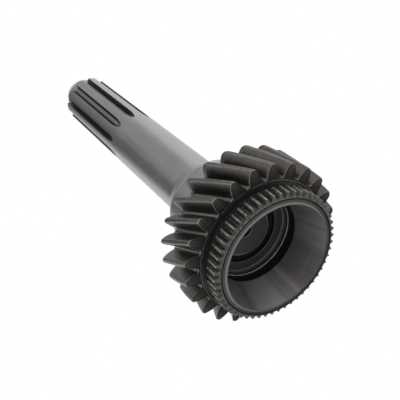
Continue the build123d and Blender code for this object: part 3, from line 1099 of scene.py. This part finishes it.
def mouth_finish():
    """Dog teeth and neck dark with oil, with painted black shade in the recesses, painted highlights
    and reflections, and the turned and ground inside of the mouth.
    """
    steel = Finish("turned mouth steel")
    marks = turning_marks(steel, MOUTH_MARK_PITCH)
    cloud = steel.noise(steel.here, GEAR_CLOUDS, CLOUD_DETAIL)
    outside = outside_mask(steel)
    on_cone = 1 - steel.ramp(steel.z, RELIEF_Z - 0.1 * MM, RELIEF_Z + 0.1 * MM)
    on_lip = steel.ramp(steel.r, MOUTH_R - 0.1 * MM, MOUTH_R) * (1 - outside)
    # Black painted shade in the neck and the other recesses
    recess_shade_mask = recess_shade(steel, outside)
    in_pocket = pocket_mask(steel, outside)
    colour = steel.coats(
        steel.blend(cloud, *TURNED_STEEL),
        (on_cone, 1, cone_colour(steel, cloud, marks)),
        # The lip is painted lighter on one side and darker on the other: painted light and shade
        (on_lip, 1, steel.blend(steel.band(steel.angle, *LIP_LIT_SIDE), *LIP_SHADED_AND_LIT)),
        (outside, 1, steel.blend(cloud, *OILY_RING_STEEL)),
        *ring_coats(steel, outside),
        (inner_edge_highlights(steel), 1, INNER_EDGE_HIGHLIGHT),
        (recess_shade_mask, 1, RECESS_SHADE_BLACK),
        (ring_back_edge_highlight(steel), 0.8, DOG_BACK_EDGE_HIGHLIGHT),
        (in_pocket, 0.5, POCKET_SHADE),
    )
    roughness = MOUTH_ROUGHNESS + cloud * CLOUDED + on_cone * CONE_SATIN + in_pocket * POCKET_DULL
    roughness = roughness + steel.math("MINIMUM", recess_shade_mask, 1.0) * RECESS_DULL
    return steel.metal(colour, roughness, steel.bump(marks, 0.4))


# Studio. The camera's place and axes were recovered from the photograph

CAMERA_LENS = 58.087
CAMERA_SENSOR = 36.0
CAMERA_NEAR = 0.01
CAMERA_PLACE = (0.24557, -0.18010, -0.25808)
CAMERA_RIGHT = (-0.08894, 0.86183, -0.49934)
CAMERA_UP = (0.84052, 0.33393, 0.42663)
CAMERA_BACK = (0.53443, -0.38177, -0.75408)
ROOM_LIGHT = 0.6
WHITE = (1.0, 1.0, 1.0, 1.0)
FLOOR_HALF = 3.0
FLOOR_PALE = (0.86, 0.86, 0.86, 1.0)
FLOOR_FADE_START = 0.35
FLOOR_FADE_END = 1.5


def place_camera():
    """The photograph's camera, which looks up into the mouth from below the rim."""
    data = bpy.data.cameras.new("camera")
    data.lens = CAMERA_LENS
    data.sensor_width = CAMERA_SENSOR
    data.clip_start = CAMERA_NEAR
    camera = placed("camera", data)
    axes = Matrix([Vector(axis) for axis in (CAMERA_RIGHT, CAMERA_UP, CAMERA_BACK)])
    camera.matrix_world = Matrix.Translation(CAMERA_PLACE) @ axes.transposed().to_4x4()
    bpy.context.scene.camera = camera


def soft_lamp(name, spot, size, watts, target):
    """A large square lamp that faces the shaft."""
    data = bpy.data.lights.new(name, "AREA")
    data.shape = "SQUARE"
    data.size = size
    data.energy = watts
    lamp = placed(name, data)
    lamp.location = spot
    lamp.rotation_euler = (Vector(target) - Vector(spot)).to_track_quat("-Z", "Y").to_euler()


def light_room():
    """A white room to the camera and in the metal, with a gentler light on everything else."""
    world = bpy.data.worlds.new("room")
    bpy.context.scene.world = world
    world.use_nodes = True
    tree = Tree(world.node_tree)
    camera, glossy, through = (
        tree.node("ShaderNodeLightPath", output=f"Is {ray} Ray")
        for ray in ("Camera", "Glossy", "Transmission")
    )
    seen = tree.math("MINIMUM", camera + glossy + through, 1.0)
    strength = ROOM_LIGHT + seen * (1 - ROOM_LIGHT)
    air = tree.node("ShaderNodeBackground", {}, {"Color": WHITE, "Strength": strength})
    tree.node("ShaderNodeOutputWorld", {}, {"Surface": air})


def staged_sheet(name, corners, paint_name):
    """A flat sheet of the studio with a paint of its own, and the node tree of that paint."""
    mesh = bpy.data.meshes.new(name)
    mesh.from_pydata(corners, [], [(0, 1, 2, 3)])
    paint = bpy.data.materials.new(paint_name)
    paint.use_nodes = True
    mesh.materials.append(paint)
    return placed(name, mesh), Tree(paint.node_tree)


def lay_floor():
    """A pale floor under the rim, which fades into the white room. From below it can't be seen."""
    half = FLOOR_HALF
    corners = [(-half, -half, 0), (half, -half, 0), (half, half, 0), (-half, half, 0)]
    floor, tree = staged_sheet("floor", corners, "floor paint")
    pale = tree.node("ShaderNodeBsdfDiffuse", {}, {"Color": FLOOR_PALE})
    white = tree.node("ShaderNodeEmission", {}, {"Color": WHITE})
    here = tree.node("ShaderNodeTexCoord", output="Object")
    away = tree.node("ShaderNodeVectorMath", {"operation": "LENGTH"}, {0: here}, "Value")
    fade = tree.ramp(away, FLOOR_FADE_START, FLOOR_FADE_END)
    ground = tree.node("ShaderNodeMixShader", {}, {0: fade, 1: pale, 2: white})
    below = tree.node("ShaderNodeNewGeometry", output="Backfacing")
    clear = tree.node("ShaderNodeBsdfTransparent")
    both = tree.node("ShaderNodeMixShader", {}, {0: below, 1: ground, 2: clear})
    tree.node("ShaderNodeOutputMaterial", {}, {"Surface": both})
    floor.visible_shadow = False
    floor.visible_glossy = False
    floor.visible_diffuse = False


def hang_card(name, direction, distance, width, height, grey):
    """A card that faces the shaft, out of sight of the camera, for its metal to reflect."""
    aim = Vector(direction).normalized()
    turn = (-aim).to_track_quat("Z", "Y").to_matrix()
    corners = []
    for x, y in ((-1, -1), (1, -1), (1, 1), (-1, 1)):
        corners.append(aim * distance + turn @ Vector((x * width / 2, y * height / 2, 0)))
    card, tree = staged_sheet(name, corners, f"{name} paper")
    plain = tree.node("ShaderNodeEmission", {}, {"Color": (grey, grey, grey, 1.0)})
    tree.node("ShaderNodeOutputMaterial", {}, {"Surface": plain})
    card.visible_camera = False
    card.visible_diffuse = False
    card.visible_shadow = False


bpy.context.scene.view_settings.view_transform = "Standard"
gear_ring(gear_finish())
mouth_ring(mouth_finish())
shaft_ring(shaft_finish())
place_camera()
light_room()
lay_floor()
hang_card("dark card above", (-0.08, -0.568, 0.819), distance=1.5, width=0.98, height=1.4, grey=0.18)
hang_card("grey card above", (0.524, -0.233, 0.819), distance=1.6, width=1.5, height=1.4, grey=0.56)
hang_card("dark card below", (-0.61, 0.45, -0.65), distance=1.5, width=1.2, height=2.0, grey=0.03)
soft_lamp("key", (0.9, 0.9, 1.1), size=1.0, watts=0.5, target=(0.0, 0.0, 0.15))
soft_lamp("fill", (-1.0, -0.6, 0.3), size=1.2, watts=1.0, target=(0.0, 0.0, 0.1))
